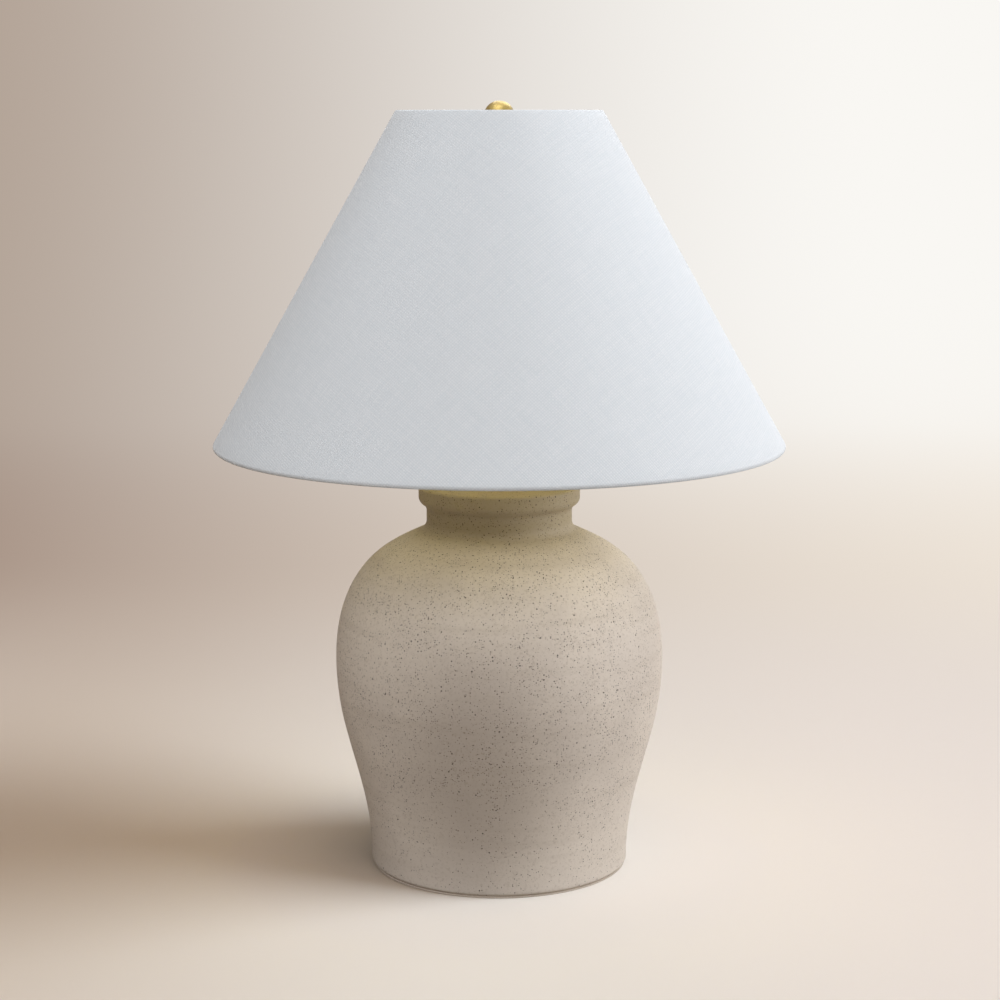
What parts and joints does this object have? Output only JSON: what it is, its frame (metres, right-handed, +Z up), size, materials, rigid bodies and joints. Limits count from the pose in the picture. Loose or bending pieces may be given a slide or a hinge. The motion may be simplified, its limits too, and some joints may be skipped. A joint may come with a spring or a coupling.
{
  "type": "table lamp",
  "caption": "Ceramic table lamp: a speckled jar-shaped base with a harp, a turn-switch lampholder, a wide cone shade and a brass ball finial.",
  "frame": {"origin": "middle of the felt face that the lamp rests on", "axes": "+Z up along the lamp's axis, +Y to the back where the cord leaves, +X to the right seen from the front"},
  "size_m": [0.4572, 0.4572, 0.6172],
  "materials": {
    "stoneware": "matte speckled glaze",
    "felt": "pressed felt",
    "fibreboard": "hardboard",
    "black_rubber": "moulded",
    "zinc_steel": "zinc plated",
    "satin_brass": "satin lacquered",
    "bright_brass": "bright lacquered",
    "insulating_paper": "vulcanised fibre",
    "phenolic": "moulded phenolic",
    "nickel_shell": "nickel plated",
    "contact_brass": "bare spring brass",
    "knob_plastic": "moulded",
    "solder_tin": "soldered tip",
    "black_glass": "vitrified insulator",
    "bulb_plastic": "moulded white",
    "frosted_globe": "frosted diffuser",
    "board_white": "solder mask",
    "led_yellow": "phosphor",
    "board_green": "solder mask",
    "shade_linen": "fine plain weave",
    "shade_styrene": "white styrene",
    "white_wire": "white enamel",
    "finial_brass": "brushed lacquered"
  },
  "bodies": {
    "root": {"ceramic_body": "stoneware", "felt_pad": "felt", "base_cover": "fibreboard", "cord_grommet": "black_rubber", "lamp_pipe": "zinc_steel", "floor_gasket": "black_rubber", "floor_washer": "zinc_steel", "lock_washer": "zinc_steel", "pipe_nut": "zinc_steel", "cap_gasket": "black_rubber", "vase_cap": "satin_brass", "neck_tube": "satin_brass", "check_ring": "satin_brass", "harp_saddle": "satin_brass", "holder_cap": "bright_brass", "holder_set_screw": "zinc_steel", "holder_shell": "bright_brass", "holder_liner": "insulating_paper", "holder_body": "phenolic", "screw_shell": "nickel_shell", "centre_contact": "contact_brass", "terminal_screws": "contact_brass", "switch_contact": "contact_brass"},
    "switch": {"switch_shaft": "zinc_steel", "switch_rotor": "phenolic", "switch_knob": "knob_plastic"},
    "bulb": {"bulb_tip_contact": "solder_tin", "bulb_insulator": "black_glass", "bulb_screw_base": "nickel_shell", "bulb_housing": "bulb_plastic", "bulb_globe": "frosted_globe", "led_board": "board_white", "led_chips": "led_yellow", "led_driver_board": "board_green"},
    "harp": {"harp_wire": "satin_brass"},
    "left_ferrule": {"harp_ferrule_left": "satin_brass"},
    "right_ferrule": {"harp_ferrule_right": "satin_brass"},
    "swivel": {"harp_stud": "satin_brass"},
    "shade": {"shade_cover": "shade_linen", "shade_liner": "shade_styrene", "top_ring": "white_wire", "bottom_ring": "white_wire", "spider_arms": "white_wire", "spider_hub": "white_wire"},
    "finial": {"finial": "finial_brass"}
  },
  "joints": [
    {"name": "switch_turn", "type": "hinge", "parent": "root", "child": "switch", "pos_m": [0, -0.02, 0.4027], "axis": [0, -1, 0], "continuous": true},
    {"name": "bulb_unscrew", "type": "slide", "parent": "root", "child": "bulb", "axis": [0, 0, 1], "range_m": [0, 0.026]},
    {"name": "harp_lift", "type": "slide", "parent": "root", "child": "harp", "axis": [0, 0, 1], "range_m": [0, 0.025]},
    {"name": "left_ferrule_slide", "type": "slide", "parent": "harp", "child": "left_ferrule", "axis": [0, 0, 1], "range_m": [0, 0.012]},
    {"name": "right_ferrule_slide", "type": "slide", "parent": "harp", "child": "right_ferrule", "axis": [0, 0, 1], "range_m": [0, 0.012]},
    {"name": "shade_swivel", "type": "hinge", "parent": "harp", "child": "swivel", "pos_m": [0, 0, 0.5764], "axis": [0, 0, 1], "continuous": true},
    {"name": "shade_lift", "type": "slide", "parent": "swivel", "child": "shade", "axis": [0, 0, 1], "range_m": [0, 0.25]},
    {"name": "finial_unscrew", "type": "slide", "parent": "shade", "child": "finial", "axis": [0, 0, 1], "range_m": [0, 0.015]}
  ]
}
